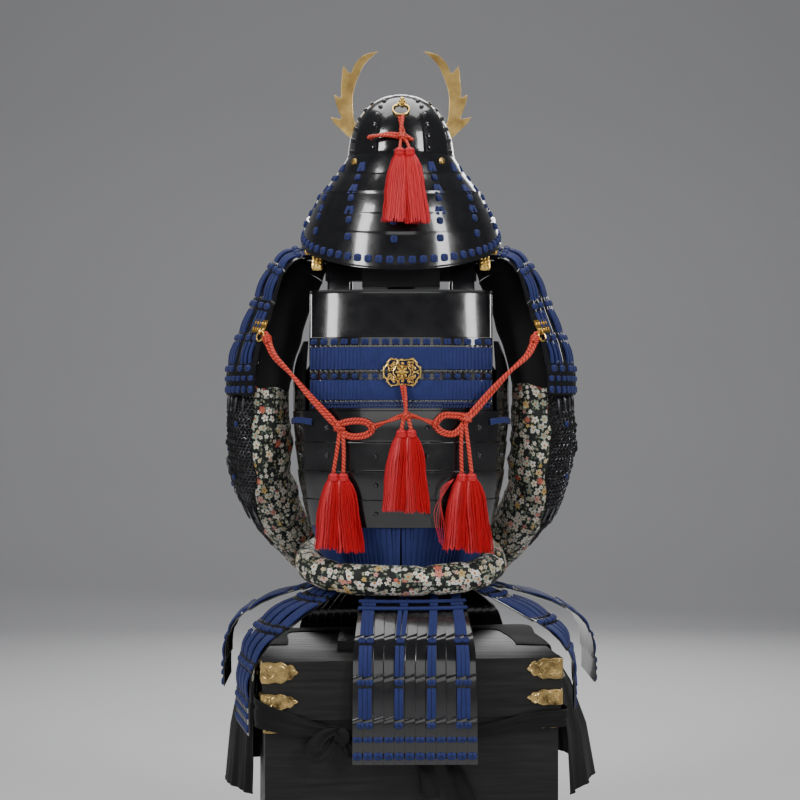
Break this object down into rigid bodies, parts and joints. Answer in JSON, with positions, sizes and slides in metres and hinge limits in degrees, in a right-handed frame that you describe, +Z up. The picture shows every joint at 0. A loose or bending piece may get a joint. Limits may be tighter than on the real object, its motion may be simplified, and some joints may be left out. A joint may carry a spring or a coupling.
{
  "type": "samurai armour on an armour box and stand",
  "caption": "Full suit of laced plate armour with helmet, cuirass, sleeves, skirt panels, cords and tassels, set up on a wooden stand on its black armour box.",
  "frame": {"origin": "on the floor, at the middle of the box's underside, straight below the helmet", "axes": "+Z up, +Y the way the wearer faces, +X to the wearer's right"},
  "size_m": [0.7866, 0.6108, 1.789],
  "materials": {
    "lacquer": "black lacquer, glossy and lightly textured",
    "lacing": "dark blue flat silk braid over black lacquered plates",
    "brass": "aged brass",
    "gilt": "bright gilt",
    "cord": "twisted orange red cord",
    "tassel": "crimson silk threads",
    "brocade": "black brocade with small flowers",
    "cloth": "matt black cloth",
    "wood": "black stained wood"
  },
  "bodies": {
    "root": {"box_body": "wood", "box_lid": "wood", "box_corner_back_left": "brass", "box_corner_front_left": "brass", "box_corner_back_right": "brass", "box_corner_front_right": "brass", "stand": "wood", "thigh_guard": "cloth", "thigh_guard_tie": "cloth", "back_top_plate": "lacquer", "back_laced_lame_1": "lacing", "back_laced_lame_2": "lacing", "back_riveted_shell": "lacquer", "front_shell": "lacquer", "back_flank_left": "lacquer", "shoulder_strap_left": "lacquer", "side_tie_left": "lacing", "back_flank_right": "lacquer", "shoulder_strap_right": "lacquer", "side_tie_right": "lacing", "back_fitting": "gilt", "waist_lacing_back": "lacing", "waist_lacing_front": "lacing", "sash": "brocade", "skirt_back": "lacing", "skirt_back_left": "lacing", "skirt_side_left": "lacing", "skirt_front_left": "lacing", "skirt_front_right": "lacing", "skirt_side_right": "lacing", "skirt_back_right": "lacing", "sleeve_left": "brocade", "sleeve_right": "brocade", "shoulder_guard_left": "lacing", "guard_top_plate_left": "gilt", "guard_ring_left": "gilt", "shoulder_guard_right": "lacing", "guard_top_plate_right": "gilt", "guard_ring_right": "gilt", "helmet_bowl": "lacquer", "neck_guard_lame_1": "lacquer", "neck_guard_lame_2": "lacquer", "neck_guard_lame_3": "lacquer", "neck_guard_lame_4": "lacquer", "neck_guard_lame_5": "lacquer", "helmet_visor": "lacquer", "horn_left": "brass", "horn_right": "brass", "crest_base": "brass", "helmet_knob_ring": "gilt", "cord_left": "cord", "knot_left": "cord", "tassels_left": "tassel", "cord_right": "cord", "knot_right": "cord", "tassels_right": "tassel", "cord_centre": "cord", "tassels_centre": "tassel", "helmet_cord": "cord", "tassels_helmet": "tassel"}
  },
  "joints": []
}
